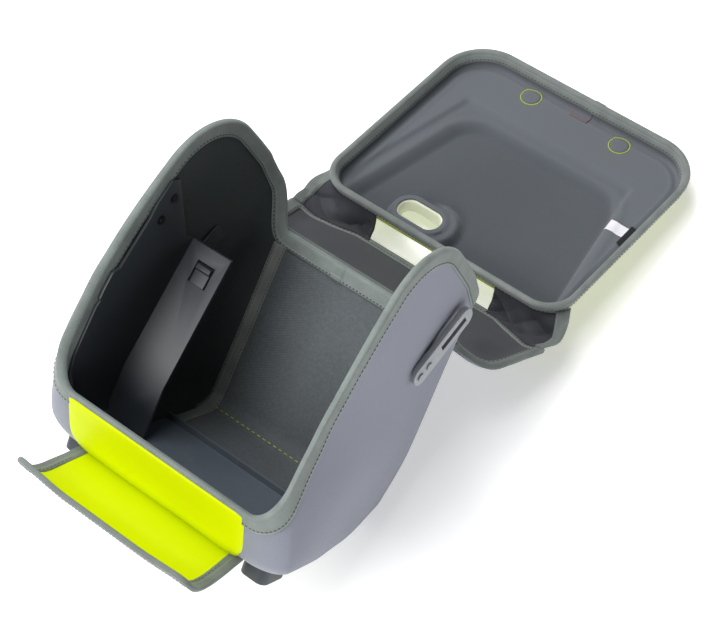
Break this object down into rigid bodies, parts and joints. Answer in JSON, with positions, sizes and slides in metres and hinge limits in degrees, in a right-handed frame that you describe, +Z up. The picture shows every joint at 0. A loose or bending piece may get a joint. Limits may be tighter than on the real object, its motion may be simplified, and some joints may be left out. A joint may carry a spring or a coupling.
{
  "type": "defibrillator carry case",
  "caption": "Soft carry case for a defibrillator, open: tall sided tray, folding cap and lid on bellows, closure flap, plastic bracket, feet and slotted strap clips.",
  "frame": {"origin": "centre of the bounding box's bottom face, on the floor the open case rests on", "axes": "+Z up, -Y towards the closure flap at the case's front, +Y towards the lid, +X to the case's right seen from the front with the lid behind"},
  "size_m": [0.2996, 0.6856, 0.2966],
  "materials": {
    "outer_fabric": "woven nylon over moulded foam",
    "lime_fabric": "woven nylon over moulded foam",
    "lining_fabric": "brushed knit lining",
    "lid_lining_fabric": "brushed knit lining",
    "cap_lining_fabric": "smooth woven lining",
    "binding_tape": "ribbed binding tape",
    "bellows_fabric": "soft woven fabric",
    "label_fabric": "bare sewn label",
    "tan_piping": "sewn piping cord",
    "lime_thread": "stitching thread",
    "bracket_plastic": "fine moulded texture",
    "foot_plastic": "fine moulded texture",
    "window_plastic": "smooth translucent moulding",
    "bumper_rubber": "moulded rubber",
    "screw_steel": "plated steel"
  },
  "bodies": {
    "case": {"side_shell_left": "outer_fabric", "side_shell_right": "outer_fabric", "base_shell": "outer_fabric", "back_shell": "outer_fabric", "front_panel": "lime_fabric", "side_lining_left": "lining_fabric", "side_lining_right": "lining_fabric", "floor_lining": "lining_fabric", "back_lining": "lining_fabric", "front_lining": "lining_fabric", "rim_binding": "binding_tape", "seam_tape_left": "binding_tape", "seam_tape_right": "binding_tape", "side_bracket": "bracket_plastic", "catch_hook": "bracket_plastic", "floor_plate": "bracket_plastic", "bracket_screws": "screw_steel", "bracket_washers": "screw_steel", "foot_left": "foot_plastic", "foot_right": "foot_plastic", "foot_screws": "screw_steel", "strap_clip_left": "foot_plastic", "strap_clip_right": "foot_plastic", "clip_backing_left": "foot_plastic", "clip_backing_right": "foot_plastic", "clip_rivets": "screw_steel", "rear_bumpers": "bumper_rubber"},
    "closure_flap": {"flap_panel": "lime_fabric", "flap_binding": "binding_tape", "flap_keepers": "screw_steel"},
    "cap": {"cap_shell": "outer_fabric", "cap_lining": "cap_lining_fabric", "cap_binding": "binding_tape", "hinge_piping": "tan_piping", "bellows_left": "bellows_fabric", "bellows_right": "bellows_fabric"},
    "lid": {"lid_shell": "lime_fabric", "lid_lining": "lid_lining_fabric", "lid_binding": "binding_tape", "window_bezel": "window_plastic", "lid_magnets": "screw_steel", "magnet_rings": "lime_thread", "stitched_tab": "lid_lining_fabric", "blank_label": "label_fabric", "side_tag": "bellows_fabric"}
  },
  "joints": [
    {"name": "flap_fold", "type": "hinge", "parent": "case", "child": "closure_flap", "pos_m": [0, -0.28139, 0.10908], "axis": [1, 0, 0], "range_deg": [-30, 25]},
    {"name": "cap_fold", "type": "hinge", "parent": "case", "child": "cap", "pos_m": [0, 0.00011, 0.11206], "axis": [1, 0, 0], "range_deg": [0, 129]},
    {"name": "lid_fold", "type": "hinge", "parent": "cap", "child": "lid", "pos_m": [0, 0.16419, 0.10175], "axis": [1, 0, 0], "range_deg": [0, 90], "deforming": ["bellows_left", "bellows_right"]}
  ],
  "couplings": [
    {"joint": "lid_fold", "follows": "cap_fold", "ratio": 0.6976}
  ]
}
